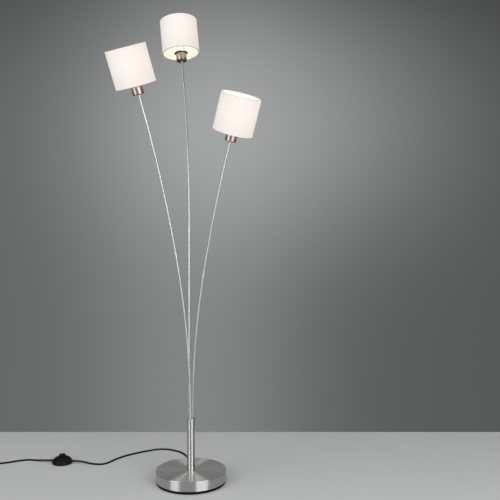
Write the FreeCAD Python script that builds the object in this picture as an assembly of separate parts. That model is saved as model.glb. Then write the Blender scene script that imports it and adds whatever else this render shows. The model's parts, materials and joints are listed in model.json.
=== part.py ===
"""Tree floor lamp: a round weighted base, one post, three curved arms that swivel in
the post's cap, each with a drum shade on a lampholder, and a lead with a foot switch,
a coil of spare lead and a plug.

Units are millimetres, +Z is up, -Y is the front. The origin is the middle of the
base's underside, on the floor.
"""
import FreeCAD, Part
import math
import os

V = FreeCAD.Vector
UP = V(0, 0, 1)

# ---- base ---------------------------------------------------------------------
base_radius = 115.0        # outside of the turned cover
base_height = 42.0         # floor to the cover's top face
cover_sheet = 1.5          # wall and top of the cover
cover_edge_round = 1.2     # rounded top edge of the cover
wall_foot = 10.0           # floor to the lower edge of the cover's wall
pad_setback = 15.0         # the foam pad under the pan stands this far inside the wall
pad_thickness = 1.5
pan_setback = 2.0          # the black foot pan stands this far inside the wall
pan_wall = 5.0
pan_floor = 1.2
pan_top = 12.0             # floor to the top of the pan, where the weight sits
pan_boss_radius = 6.0
weight_recess_radius = 22.0
weight_recess_depth = 12.0
weight_groove_width = 9.0  # the lead's channel under the weight
weight_groove_depth = 7.0
pan_screw_count = 3
pan_screw_circle = 68.0
pan_screw_radius = 2.0
pan_screw_head_radius = 3.8
pan_screw_head_height = 2.2
pan_screw_recess = 3.5     # the seat of each head above the pan's underside
pan_screw_depth = 9.0      # how far each screw reaches into the weight
pan_screw_slot = 0.8

# ---- clamp through the base ---------------------------------------------------
tie_radius = 5.0
tie_bore_radius = 3.7
tie_below = 10.0           # the tie tube's length below the roof of the recess
tie_above = 13.0           # and above the cover
nut_flat_width = 16.0
nut_height = 7.5
nut_flange_radius = 13.0
nut_flange_thickness = 1.6

# ---- post ---------------------------------------------------------------------
post_radius = 12.5
post_wall = 1.5
post_length = 166.0        # the tube alone
cap_lip_height = 4.0
cap_plug_length = 18.0
foot_plug_length = 18.0
foot_plug_roof = 4.0
seat_thickness = 8.0       # the disc that carries the ends of the rods
seat_below_cap = 10.0      # room for the collars between the seat and the cap
rod_circle_radius = 6.0    # the three rods stand on this circle
block_width = 13.0         # terminal block inside the post
block_depth = 11.0
block_height = 30.0
block_wire_bore_radius = 3.5
block_wire_bore_depth = 8.0

# ---- arms ---------------------------------------------------------------------
rod_radius = 3.0
rod_bore_radius = 2.0
rod_end_straight = 12.0    # straight end of each half rod beside the coupler
coupler_radius = 4.5
coupler_length = 20.0
collar_radius = 4.6
collar_height = 5.0
neck_length = 9.0          # straight rod below the nipple under the cup

# ---- heads --------------------------------------------------------------------
nipple_radius = 4.6
nipple_height = 5.0
rod_into_cup = 9.0         # the rod's end inside the cup
cup_radius = 17.5
cup_height = 28.0
cup_sheet = 1.0
cup_bottom_round = 2.5
holder_radius = 13.6
holder_length = 48.0
holder_socket_radius = 7.4
holder_socket_depth = 24.0
ring_nut_radius = 19.0
ring_nut_height = 6.0
ring_nut_flutes = 24       # grip flutes round the nut
ring_nut_flute_radius = 0.9
ring_nut_flute_out = 0.4   # the middle of a flute outside the nut's rim
fitter_disc_radius = 22.5
fitter_sheet = 1.2
fitter_arm_count = 3
fitter_arm_width = 4.0
fitter_arm_turn = 30.0     # degrees from the head's own X to the first arm
ring_wire_radius = 1.25    # wire rings in the shade's two edges
shade_radius = 62.0
shade_height = 115.0
shade_sheet = 1.0
bulb_radius = 22.5
bulb_neck_radius = 12.0
bulb_cap_radius = 6.9
bulb_contact_radius = 4.1  # the cap's lower end
bulb_contact_height = 3.0
bulb_cap_proud = 3.0       # the cap reaches this far out of the lampholder
bulb_length = 79.0

# ---- foot switch --------------------------------------------------------------
switch_x = -453.5
switch_y = 218.5
switch_turn = 171.6        # degrees, the way the lead runs through the switch
switch_radius = 35.5
switch_height = 24.0       # floor to the top of the dome
switch_rim_height = 6.0    # floor to where the dome starts to curve
dome_bulge_out = 0.62      # a point of the dome's arc, as a share of its run outward
dome_bulge_up = 0.66       # and of its rise
switch_base_sheet = 2.5
switch_wall = 2.0
switch_screw_circle = 26.0
switch_screw_radius = 1.5
switch_screw_head_radius = 2.8
switch_screw_recess = 1.4
switch_screw_head_height = 1.0
switch_boss_radius = 4.0
switch_boss_height = 9.0
button_radius = 11.5
button_proud = 7.0         # button above the dome
button_depth = 7.0         # button below the dome's top
button_flange_radius = 13.5
button_flange_height = 2.0
button_edge_round = 1.5
button_travel = 3.0
carrier_radius = 8.0
spring_wire = 1.2

# ---- lead ---------------------------------------------------------------------
lead_radius = 3.0
lead_exit_z = 6.5          # height of the lead in the base's gland
switch_lead_z = 8.0        # height of the lead in the foot switch
gland_body_radius = 3.6
gland_body_length = 14.0   # from inside the pan to the outside of its wall
gland_collar_radius = 4.8
gland_collar_length = 2.4
gland_sleeve_length = 27.0
gland_sleeve_radius = 4.6
switch_sleeve_radius = 5.0
switch_sleeve_length = 16.0
switch_sleeve_inside = 8.0
sleeve_lip = 0.5           # a sleeve's end is this much thicker than the lead

coil_x = -755.0
coil_y = 178.85
coil_start_turn = 90.0     # degrees, where round the coil the lead comes in
coil_least_radius = 25.0
coil_pitch = 6.6           # from one turn to the next, along the floor
coil_rise = 6.6            # from the lower layer to the upper one
coil_quarters_in = 11      # quarter turns inward on the floor
coil_quarters_out = 10     # quarter turns outward on top
coil_run_out = 46.0        # from the last turn down to the plug

plug_z = 7.5
plug_neck_length = 14.0
plug_neck_radius = 4.6
plug_body_length = 34.0
plug_body_width = 35.0
plug_body_thickness = 14.0
plug_waist_width = 16.0
plug_shoulder_share = 0.55 # the part of the body's length over which it widens
plug_cheek = 1.6           # how far the widening sides bulge
plug_edge_round = 2.0
pin_radius = 2.0
pin_length = 19.0
pin_spacing = 18.6

# ---- clearances ---------------------------------------------------------------
slip_gap = 0.15            # radial, a fixed piece inside another
swivel_gap = 0.05          # radial, a rod turning in the post's cap
free_gap = 0.3             # between pieces of different bodies
shell_gap = 0.3            # the weight inside the cover's wall

# The arms: where the rod stands on the rod circle, the way it leans, and the length of
# each half rod with the angle that it bends through. The upper half may be turned in its
# coupler by turn_angle. Angles are in degrees, counted from +X towards +Y.
arms = {
    "left": dict(place_angle=262.0, lean_angle=221.5,
                 lower=546.0, lower_angle=12.3, turn_angle=0.0, upper=491.0, upper_angle=7.8),
    "middle": dict(place_angle=140.0, lean_angle=87.0,
                   lower=616.5, lower_angle=6.0, turn_angle=44.0, upper=556.0, upper_angle=7.7),
    "right": dict(place_angle=20.0, lean_angle=309.1,
                  lower=480.0, lower_angle=13.7, turn_angle=0.0, upper=419.5, upper_angle=6.9),
}

# The lead's route on the floor behind the base and to the switch, chosen by hand.
straight_at_gland = 26.0
route_to_switch = [
    (-3.0, 203.0, 3.0), (-13.0, 239.0, 3.0), (-29.0, 281.0, 3.0),
    (-61.0, 316.0, 3.0), (-107.0, 337.0, 3.0), (-152.0, 321.0, 3.0), (-196.0, 297.0, 3.0),
    (-237.0, 269.0, 3.0), (-270.0, 234.0, 3.0), (-301.0, 181.0, 3.0), (-349.0, 190.0, 3.0),
]
# The lead from the switch to the coil.
route_to_coil = [
    (-548.0, 244.0, 3.0), (-583.0, 254.0, 3.0), (-614.0, 243.0, 3.0), (-645.0, 227.0, 3.0),
    (-680.0, 219.0, 3.0),
]
straight_at_switch = 26.0  # the lead runs straight this far before and after the switch
straight_at_coil = 30.0

# ---- sizes that follow --------------------------------------------------------
cover_inner_radius = base_radius - cover_sheet
cover_underside = base_height - cover_sheet
pan_radius = base_radius - pan_setback
recess_roof = pan_top + weight_recess_depth
screw_seat = pad_thickness + pan_screw_recess
post_inner_radius = post_radius - post_wall
post_end = base_height + post_length
post_top = post_end + cap_lip_height
cap_foot = post_end - cap_plug_length
seat_top = cap_foot - seat_below_cap
shade_inner_radius = shade_radius - shade_sheet
shade_foot = cup_height + fitter_sheet / 2 - ring_wire_radius


# ---- helpers ------------------------------------------------------------------
def cylinder(radius, height, foot=0.0, x=0.0, y=0.0):
    return Part.makeCylinder(radius, height, V(x, y, foot))


def ring(outer, inner, height, foot=0.0, x=0.0, y=0.0):
    return cylinder(outer, height, foot, x, y).cut(cylinder(inner, height, foot, x, y))


def box(width, depth, height, foot=0.0):
    return Part.makeBox(width, depth, height, V(-width / 2, -depth / 2, foot))


def turned(edges):
    """A solid turned about the Z axis from a closed outline in the XZ plane."""
    return Part.Face(Part.Wire(edges)).revolve(V(0, 0, 0), UP, 360)


def line(a, b):
    return Part.LineSegment(V(a[0], 0, a[1]), V(b[0], 0, b[1])).toShape()


def bow(a, through, b):
    return Part.Arc(V(a[0], 0, a[1]), V(through[0], 0, through[1]), V(b[0], 0, b[1])).toShape()


def corner_round(corner, radius, up=1):
    """The middle of a quarter round that replaces an outer corner, the lower one if up is -1."""
    inset = radius * (1 - math.sqrt(0.5))
    return (corner[0] - inset, corner[1] - up * inset)


def unit(turn):
    return V(math.cos(math.radians(turn)), math.sin(math.radians(turn)), 0)


def placed(shape, place):
    moved = shape.copy()
    moved.Placement = place.multiply(moved.Placement)
    return moved


def group(shapes):
    return Part.makeCompound(shapes)


# ---- base ---------------------------------------------------------------------
def base_cover():
    r, top, e = base_radius, base_height, cover_edge_round
    outer = turned([
        line((0, wall_foot), (r, wall_foot)), line((r, wall_foot), (r, top - e)),
        bow((r, top - e), corner_round((r, top), e), (r - e, top)),
        line((r - e, top), (0, top)), line((0, top), (0, wall_foot)),
    ])
    inside = cylinder(cover_inner_radius, cover_underside - wall_foot, wall_foot)
    # a notch in the back of the wall clears the lead's sleeve
    notch = Part.makeCylinder(gland_sleeve_radius + free_gap, base_radius, V(0, 0, lead_exit_z), V(0, 1, 0))
    return outer.cut([inside, notch, cylinder(tie_radius + slip_gap, base_height)])


def base_weight():
    body = cylinder(cover_inner_radius - shell_gap, cover_underside - pan_top, pan_top)
    groove = Part.makeBox(weight_groove_width, pan_radius - pan_wall, weight_groove_depth,
                          V(-weight_groove_width / 2, 0, pan_top))
    places = pan_screw_places()
    cuts = [cylinder(pan_screw_radius + slip_gap, pan_screw_depth, pan_top, at.x, at.y) for at in places]
    return body.cut([
        cylinder(weight_recess_radius, weight_recess_depth, pan_top),
        cylinder(tie_radius + slip_gap, base_height), groove] + cuts)


def floor_pad():
    return cylinder(base_radius - pad_setback, pad_thickness)


def foot_pan():
    body = cylinder(pan_radius, pan_top - pad_thickness, pad_thickness)
    body = body.cut(cylinder(pan_radius - pan_wall, pan_top, pad_thickness + pan_floor))
    head_hole_radius = pan_screw_head_radius + slip_gap
    for at in pan_screw_places():
        body = body.fuse(cylinder(pan_boss_radius, pan_top - pad_thickness, pad_thickness, at.x, at.y))
        body = body.cut(cylinder(pan_screw_radius + slip_gap, pan_top, pad_thickness, at.x, at.y))
        body = body.cut(cylinder(head_hole_radius, pan_screw_recess, pad_thickness, at.x, at.y))
    hole = Part.makeCylinder(gland_body_radius + slip_gap, base_radius, V(0, 0, lead_exit_z), V(0, 1, 0))
    return body.cut(hole)


def pan_screw_places():
    turns = [360.0 / pan_screw_count * (i + 0.75) for i in range(pan_screw_count)]
    return [unit(turn) * pan_screw_circle for turn in turns]


def pan_screws():
    screws = []
    for at in pan_screw_places():
        head_foot = screw_seat - pan_screw_head_height
        head = cylinder(pan_screw_head_radius, pan_screw_head_height, head_foot, at.x, at.y)
        shank = cylinder(pan_screw_radius, pan_top - screw_seat + pan_screw_depth, screw_seat, at.x, at.y)
        slot = Part.makeBox(pan_screw_head_radius * 2, pan_screw_slot, pan_screw_head_height / 2,
                            V(at.x - pan_screw_head_radius, at.y - pan_screw_slot / 2, head_foot))
        screws.append(head.fuse(shank).cut(slot))
    return group(screws)


def tie_tube():
    foot = recess_roof - tie_below
    return ring(tie_radius, tie_bore_radius, base_height + tie_above - foot, foot)


def clamp_nut():
    """A hexagon nut with its flange against the roof of the weight's recess."""
    corner = nut_flat_width / math.sqrt(3)
    foot = recess_roof - nut_height
    hexagon = Part.Face(Part.makePolygon([unit(60 * i) * corner + UP * foot for i in range(7)]))
    prism = hexagon.extrude(UP * nut_height)
    flange = cylinder(nut_flange_radius, nut_flange_thickness, recess_roof - nut_flange_thickness)
    return prism.fuse(flange).cut(cylinder(tie_radius + slip_gap, nut_height, foot))


# ---- post ---------------------------------------------------------------------
def post_tube():
    return ring(post_radius, post_inner_radius, post_length, base_height)


def post_foot_plug():
    body = cylinder(post_inner_radius - slip_gap, foot_plug_length, base_height)
    body = body.cut(cylinder(tie_radius + slip_gap, foot_plug_length - foot_plug_roof, base_height))
    return body.cut(cylinder(tie_bore_radius, foot_plug_length, base_height))


def rod_place(name):
    return unit(arms[name]["place_angle"]) * rod_circle_radius


def post_cap():
    body = cylinder(post_inner_radius - slip_gap, cap_plug_length, cap_foot)
    body = body.fuse(cylinder(post_radius, cap_lip_height, post_end))
    for name in arms:
        at = rod_place(name)
        body = body.cut(cylinder(rod_radius + swivel_gap, post_top - cap_foot, cap_foot, at.x, at.y))
    return body


def rod_seat():
    body = cylinder(post_inner_radius - slip_gap, seat_thickness, seat_top - seat_thickness)
    for name in arms:
        at = rod_place(name)
        body = body.cut(cylinder(rod_bore_radius, seat_thickness, seat_top - seat_thickness, at.x, at.y))
    return body


def terminal_block():
    foot = base_height + foot_plug_length
    body = box(block_width, block_depth, block_height, foot)
    return body.cut(cylinder(block_wire_bore_radius, block_wire_bore_depth, foot))


# ---- arms ---------------------------------------------------------------------
def tube_run(place, length, bend):
    """A stretch of rod from place along its own Z axis, bent towards its own +X."""
    whole, bore = (Part.Face(Part.Wire(Part.makeCircle(r))) for r in (rod_radius, rod_bore_radius))
    face = whole.cut(bore).Faces[0]
    if bend == 0:
        return placed(face.extrude(UP * length), place)
    middle = V(length / math.radians(bend), 0, 0)
    return placed(face.revolve(middle, V(0, 1, 0), bend), place)


def along(place, length, bend=0.0):
    """The place that is reached after such a stretch."""
    if bend == 0:
        return place.multiply(FreeCAD.Placement(UP * length, FreeCAD.Rotation()))
    radius, turn = length / math.radians(bend), math.radians(bend)
    step = V(radius * (1 - math.cos(turn)), 0, radius * math.sin(turn))
    return place.multiply(FreeCAD.Placement(step, FreeCAD.Rotation(V(0, 1, 0), bend)))


def rod(place, runs):
    """One rod from straight and bent runs, and the place at its end."""
    pieces = []
    for length, bend in runs:
        pieces.append(tube_run(place, length, bend))
        place = along(place, length, bend)
    body = pieces[0].multiFuse(pieces[1:]) if len(pieces) > 1 else pieces[0]
    return body.Solids[0], place


def arm(name):
    """The named pieces of one arm with its head."""
    facts = arms[name]
    start = FreeCAD.Placement(rod_place(name) + UP * seat_top, FreeCAD.Rotation(UP, facts["lean_angle"]))
    lower, joint = rod(start, [
        (post_top - seat_top, 0.0), (facts["lower"] - rod_end_straight, facts["lower_angle"]),
        (rod_end_straight, 0.0)])
    turned_joint = joint.multiply(FreeCAD.Placement(V(), FreeCAD.Rotation(UP, facts["turn_angle"])))
    upper, end = rod(turned_joint, [
        (rod_end_straight, 0.0), (facts["upper"] - rod_end_straight, facts["upper_angle"]),
        (neck_length + nipple_height + rod_into_cup, 0.0)])
    collar_foot = seat_below_cap - free_gap - collar_height
    collar = ring(collar_radius, rod_radius + slip_gap, collar_height, collar_foot)
    coupler = ring(coupler_radius, rod_radius + slip_gap, coupler_length, -coupler_length / 2)
    head = along(end, -rod_into_cup)
    pieces = {
        "lower_rod": lower,
        "collar": placed(collar, start),
        "coupler": placed(coupler, joint),
        "upper_rod": upper,
    }
    for part_name, make in head_parts.items():
        pieces[part_name] = placed(make(), head)
    return {f"{name}_{part_name}": shape for part_name, shape in pieces.items()}


# ---- heads: Z runs along the rod's end, 0 is the underside of the cup -----------
def nipple():
    return ring(nipple_radius, rod_radius + slip_gap, nipple_height, -nipple_height)


def round_footed(radius, foot, top, edge):
    """An upright cylinder with a rounded lower edge."""
    return turned([
        line((0, foot), (radius - edge, foot)),
        bow((radius - edge, foot), corner_round((radius, foot), edge, -1), (radius, foot + edge)),
        line((radius, foot + edge), (radius, top)), line((radius, top), (0, top)),
        line((0, top), (0, foot)),
    ])


def cup():
    outer = round_footed(cup_radius, 0, cup_height, cup_bottom_round)
    inside = round_footed(cup_radius - cup_sheet, cup_sheet, cup_height, cup_bottom_round - cup_sheet)
    return outer.cut(inside).cut(cylinder(rod_radius + slip_gap, cup_sheet))


def lampholder():
    body = cylinder(holder_radius, holder_length, cup_sheet)
    # the lower end is drawn in so that it clears the cup's round bottom
    body = body.makeChamfer(cup_bottom_round, [min(body.Edges, key=lambda e: e.BoundBox.ZMax)])
    body = body.cut(cylinder(rod_radius + slip_gap, rod_into_cup - cup_sheet, cup_sheet))
    top = cup_sheet + holder_length
    return body.cut(cylinder(holder_socket_radius, holder_socket_depth, top - holder_socket_depth))


def ring_nut():
    foot = cup_height + fitter_sheet
    body = ring(ring_nut_radius, holder_radius + slip_gap, ring_nut_height, foot)
    for i in range(ring_nut_flutes):
        at = unit(360.0 / ring_nut_flutes * i) * (ring_nut_radius + ring_nut_flute_out)
        body = body.cut(cylinder(ring_nut_flute_radius, ring_nut_height, foot, at.x, at.y))
    return body


def edge_ring_radius():
    return shade_inner_radius - slip_gap - ring_wire_radius


def fitter():
    """The flat centre disc, its arms and the wire ring in the shade's lower edge."""
    body = cylinder(fitter_disc_radius, fitter_sheet, cup_height)
    reach = edge_ring_radius()
    for i in range(fitter_arm_count):
        bar = Part.makeBox(reach, fitter_arm_width, fitter_sheet, V(0, -fitter_arm_width / 2, cup_height))
        bar.rotate(V(0, 0, 0), UP, 360.0 / fitter_arm_count * i + fitter_arm_turn)
        body = body.fuse(bar)
    body = body.fuse(Part.makeTorus(reach, ring_wire_radius, V(0, 0, cup_height + fitter_sheet / 2)))
    return body.cut(cylinder(holder_radius + slip_gap, fitter_sheet, cup_height)).Solids[0]


def shade():
    return ring(shade_radius, shade_inner_radius, shade_height, shade_foot)


def top_ring():
    middle = shade_foot + shade_height - ring_wire_radius
    return Part.makeTorus(edge_ring_radius(), ring_wire_radius, V(0, 0, middle))


def bulb():
    foot = cup_sheet + holder_length - holder_socket_depth
    cap_top = cup_sheet + holder_length + bulb_cap_proud
    top = foot + bulb_length
    middle = top - bulb_radius
    touch = middle - math.sqrt(bulb_radius ** 2 - bulb_neck_radius ** 2)
    return turned([
        line((0, foot), (bulb_contact_radius, foot)),
        line((bulb_contact_radius, foot), (bulb_cap_radius, foot + bulb_contact_height)),
        line((bulb_cap_radius, foot + bulb_contact_height), (bulb_cap_radius, cap_top)),
        line((bulb_cap_radius, cap_top), (bulb_neck_radius, touch)),
        bow((bulb_neck_radius, touch), (bulb_radius, middle), (0, top)),
        line((0, top), (0, foot)),
    ])


head_parts = {
    "nipple": nipple, "cup": cup, "lampholder": lampholder, "ring_nut": ring_nut,
    "fitter": fitter, "shade": shade, "top_ring": top_ring, "bulb": bulb,
}


# ---- foot switch: local X runs along the lead, Z is up ---------------------------
switch_place = FreeCAD.Placement(V(switch_x, switch_y, 0), FreeCAD.Rotation(UP, switch_turn))


def pressed_button_foot():
    return switch_height - button_depth - button_travel


def switch_base():
    """The flat base with the round contact carrier moulded on it."""
    body = cylinder(switch_radius, switch_base_sheet)
    body = body.fuse(cylinder(carrier_radius, pressed_button_foot() - free_gap))
    for y in (-switch_screw_circle, switch_screw_circle):
        body = body.cut(cylinder(switch_screw_radius + slip_gap, switch_base_sheet, 0, 0, y))
        body = body.cut(cylinder(switch_screw_head_radius + slip_gap, switch_screw_recess, 0, 0, y))
    return body


def dome(radius, foot, top):
    """A closed dome: an upright rim, then one arc up to a flat crown."""
    rim = switch_rim_height
    crown = button_flange_radius
    rise = top - rim
    bulge = (crown + (radius - crown) * dome_bulge_out, rim + rise * dome_bulge_up)
    return turned([
        line((0, foot), (radius, foot)), line((radius, foot), (radius, rim)),
        bow((radius, rim), bulge, (crown, top)), line((crown, top), (0, top)), line((0, top), (0, foot)),
    ])


def switch_cover():
    outer = dome(switch_radius, switch_base_sheet, switch_height)
    inner = dome(switch_radius - switch_wall, switch_base_sheet, switch_height - switch_wall)
    body = outer.cut(inner)
    for y in (-switch_screw_circle, switch_screw_circle):
        boss = ring(switch_boss_radius, switch_screw_radius, switch_boss_height, switch_base_sheet, 0, y)
        body = body.fuse(boss)
    body = body.cut(cylinder(button_radius + free_gap, switch_height))
    bore = Part.makeCylinder(switch_sleeve_radius + slip_gap, switch_radius * 2,
                             V(-switch_radius, 0, switch_lead_z), V(1, 0, 0))
    return body.cut(bore).Solids[0]


def switch_screws():
    screws = []
    for y in (-switch_screw_circle, switch_screw_circle):
        head_foot = switch_screw_recess - switch_screw_head_height
        head = cylinder(switch_screw_head_radius, switch_screw_head_height, head_foot, 0, y)
        screws.append(head.fuse(cylinder(switch_screw_radius, switch_boss_height, switch_screw_recess, 0, y)))
    return group(screws)


def switch_button():
    foot = switch_height - button_depth
    top = switch_height + button_proud
    r, e = button_radius, button_edge_round
    flange_top = foot + button_flange_height
    return turned([
        line((0, foot), (button_flange_radius, foot)),
        line((button_flange_radius, foot), (button_flange_radius, flange_top)),
        line((button_flange_radius, flange_top), (r, flange_top)),
        line((r, flange_top), (r, top - e)), bow((r, top - e), corner_round((r, top), e), (r - e, top)),
        line((r - e, top), (0, top)), line((0, top), (0, foot)),
    ])


def switch_spring():
    """The return spring as a plain sleeve, as long as it is when the button is pressed."""
    inner = carrier_radius + free_gap
    length = pressed_button_foot() - free_gap - switch_base_sheet
    return ring(inner + spring_wire, inner, length, switch_base_sheet)


def switch_sleeves():
    sleeves = []
    for way in (-1, 1):
        start = V(way * (switch_radius - switch_sleeve_inside), 0, switch_lead_z)
        sleeves.append(Part.makeCone(switch_sleeve_radius, lead_radius + sleeve_lip,
                                     switch_sleeve_length, start, V(way, 0, 0)))
    return group(sleeves)


switch_parts = {
    "switch_base": switch_base, "switch_cover": switch_cover, "switch_screws": switch_screws,
    "switch_button": switch_button, "switch_spring": switch_spring, "switch_sleeves": switch_sleeves,
}


# ---- lead ---------------------------------------------------------------------
def lead_gland():
    """A moulded gland in the pan's wall, with a tapered sleeve where the lead comes out."""
    y = pan_radius
    axis = V(0, 1, 0)
    inner_end = V(0, y - gland_body_length, lead_exit_z)
    body = Part.makeCylinder(gland_body_radius, gland_body_length, inner_end, axis)
    body = body.fuse(Part.makeCylinder(gland_collar_radius, gland_collar_length, V(0, y, lead_exit_z), axis))
    y += gland_collar_length
    sleeve = Part.makeCone(gland_sleeve_radius, lead_radius + sleeve_lip, gland_sleeve_length,
                           V(0, y, lead_exit_z), axis)
    return body.fuse(sleeve)


def lead_circle(at, way):
    return Part.Wire(Part.makeCircle(lead_radius, at, way))


def lead_tube(edges, way):
    path = Part.Wire(edges)
    start = edges[0].valueAt(edges[0].FirstParameter)
    body = path.makePipeShell([lead_circle(start, way)], True, False)
    expected = math.pi * lead_radius ** 2 * path.Length
    print(f"  length {path.Length:.1f} mm, volume / (section x length) {body.Volume / expected:.4f}")
    return body, path


def rounded_route(points):
    """Straight runs joined by the largest tangent arcs that the runs allow."""
    radii, edges, at = [], [], points[0]
    for before, here, after in zip(points, points[1:], points[2:]):
        way_in, way_out = (here - before).normalize(), (after - here).normalize()
        half = way_in.getAngle(way_out) / 2
        cut = 0.45 * min((here - before).Length, (after - here).Length)
        radii.append(cut / math.tan(half))
        arc_in, arc_out = here - way_in * cut, here + way_out * cut
        inward = (way_out - way_in).normalize()
        middle = here + inward * (radii[-1] / math.cos(half) - radii[-1])
        edges.append(Part.LineSegment(at, arc_in).toShape())
        edges.append(Part.Arc(arc_in, middle, arc_out).toShape())
        at = arc_out
    edges.append(Part.LineSegment(at, points[-1]).toShape())
    runs = [(b - a).Length for a, b in zip(points, points[1:])]
    print("  runs", [round(r) for r in runs], "radii", [round(r) for r in radii])
    return edges


def switch_end(way, out=0.0):
    """Where the lead meets a sleeve of the foot switch, or further out on the same line.

    way is -1 for the lead from the base and 1 for the lead to the plug."""
    reach = switch_radius - switch_sleeve_inside + switch_sleeve_length + out
    return switch_place.multVec(V(way * reach, 0, switch_lead_z))


def lead_to_switch():
    print("lead to switch")
    start = V(0, pan_radius + gland_collar_length + gland_sleeve_length, lead_exit_z)
    points = [start, start + V(0, straight_at_gland, 0)] + [V(*p) for p in route_to_switch]
    points += [switch_end(-1, straight_at_switch), switch_end(-1)]
    return lead_tube(rounded_route(points), V(0, 1, 0))[0]


def coil_node(k):
    """Point and direction after k quarter turns, counted from where the lead comes in."""
    turn = coil_start_turn + 90.0 * k
    radius = coil_least_radius + coil_pitch * abs(k - coil_quarters_in) / 4
    climbed = min(max((k - coil_quarters_in + 1) / 2, 0.0), 1.0)
    at = V(coil_x, coil_y, lead_radius + coil_rise * climbed) + unit(turn) * radius
    ends = (0, coil_quarters_in, coil_quarters_in + coil_quarters_out)
    outward = 0.0 if k in ends else math.copysign(coil_pitch / (2 * math.pi), k - coil_quarters_in)
    # half way up, the lead climbs one and a half times as steeply as on the average
    climb = 1.5 * coil_rise / math.pi if k == coil_quarters_in else 0.0
    way = unit(turn + 90) * radius + unit(turn) * outward + UP * climb
    return at, way.normalize()


def tangent_arc(a, way, b):
    """The arc from a to b that leaves a along way."""
    chord = b - a
    side = way - chord * (way.dot(chord) / chord.dot(chord))
    if side.Length < 1e-6:
        return Part.LineSegment(a, b).toShape()
    lift = chord.Length / 2 * math.tan(way.getAngle(chord) / 2)
    return Part.Arc(a, (a + b) * 0.5 + side.normalize() * lift, b).toShape()


def biarc(a, way_a, b, way_b):
    """Two arcs that join a to b smoothly, along both directions."""
    chord, both = b - a, way_a + way_b
    square, straight = 2 * (1 - way_a.dot(way_b)), 2 * chord.dot(both)
    if square < 1e-9:
        reach = chord.dot(chord) / straight
    else:
        reach = (math.sqrt(straight ** 2 + 4 * square * chord.dot(chord)) - straight) / (2 * square)
    joint = (a + b + (way_a - way_b) * reach) * 0.5
    way = (b - way_b * reach - a - way_a * reach).normalize()
    return [tangent_arc(a, way_a, joint), tangent_arc(joint, way, b)]


def coil_ends():
    """Where the coil's tube starts and where it meets the plug."""
    first, way_in = coil_node(0)
    last, way_out = coil_node(coil_quarters_in + coil_quarters_out)
    down = last + way_out * coil_run_out
    down.z = plug_z
    return first - way_in * 2 * lead_radius, down + way_out * 2 * lead_radius, way_out


def lead_coil():
    print("coil")
    start, stop, way_out = coil_ends()
    nodes = [coil_node(k) for k in range(coil_quarters_in + coil_quarters_out + 1)]
    nodes.append((stop - way_out * 2 * lead_radius, way_out))
    edges = [Part.LineSegment(start, nodes[0][0]).toShape()]
    for (a, way_a), (b, way_b) in zip(nodes, nodes[1:]):
        edges += biarc(a, way_a, b, way_b)
    edges.append(Part.LineSegment(nodes[-1][0], stop).toShape())
    body, path = lead_tube(edges, nodes[0][1])
    print(f"  least gap to itself {least_gap(path):.2f} mm")
    return body


def least_gap(path, step=2.5):
    """The least gap between stretches of the tube that are over five diameters apart along it."""
    points = path.discretize(Distance=step)
    apart = int(10 * lead_radius / step)
    pairs = ((i, j) for i in range(len(points)) for j in range(i + apart, len(points)))
    return min((points[i] - points[j]).Length for i, j in pairs) - 2 * lead_radius


def lead_to_coil():
    print("lead to coil")
    stop = coil_ends()[0]
    points = [switch_end(1), switch_end(1, straight_at_switch)] + [V(*p) for p in route_to_coil]
    points += [stop - coil_node(0)[1] * straight_at_coil, stop]
    return lead_tube(rounded_route(points), points[1] - points[0])[0]


# ---- plug: it lies on its flat side beside the coil, pins away from it -----------
def plug_place():
    stop, way = coil_ends()[1:]
    return FreeCAD.Placement(stop, FreeCAD.Rotation(V(1, 0, 0), way))


def plug_body():
    """A flat two-pin plug that narrows to a neck, with a tapered sleeve behind it."""
    w, t, waist = plug_body_width / 2, plug_body_thickness / 2, plug_waist_width / 2
    x0, x1 = plug_neck_length, plug_neck_length + plug_body_length
    shoulder = x0 + plug_body_length * plug_shoulder_share
    cheek_x, cheek_y = (x0 + shoulder) / 2, (waist + w) / 2 + plug_cheek
    face = Part.Face(Part.Wire([
        Part.LineSegment(V(x0, -waist, -t), V(x0, waist, -t)).toShape(),
        Part.Arc(V(x0, waist, -t), V(cheek_x, cheek_y, -t), V(shoulder, w, -t)).toShape(),
        Part.LineSegment(V(shoulder, w, -t), V(x1, w, -t)).toShape(),
        Part.LineSegment(V(x1, w, -t), V(x1, -w, -t)).toShape(),
        Part.LineSegment(V(x1, -w, -t), V(shoulder, -w, -t)).toShape(),
        Part.Arc(V(shoulder, -w, -t), V(cheek_x, -cheek_y, -t), V(x0, -waist, -t)).toShape(),
    ]))
    body = face.extrude(UP * plug_body_thickness)
    long_edges = [e for e in body.Edges if e.BoundBox.ZLength < 0.01 and e.BoundBox.XMin > shoulder - 0.1]
    body = body.makeFillet(plug_edge_round, long_edges)
    neck = Part.makeCone(lead_radius + sleeve_lip, plug_neck_radius, plug_neck_length, V(0, 0, 0), V(1, 0, 0))
    return body.fuse(neck)


def plug_pins():
    pins = []
    start = plug_neck_length + plug_body_length
    for y in (-pin_spacing / 2, pin_spacing / 2):
        pins.append(Part.makeCylinder(pin_radius, pin_length, V(start, y, 0), V(1, 0, 0)))
    return group(pins)


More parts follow.
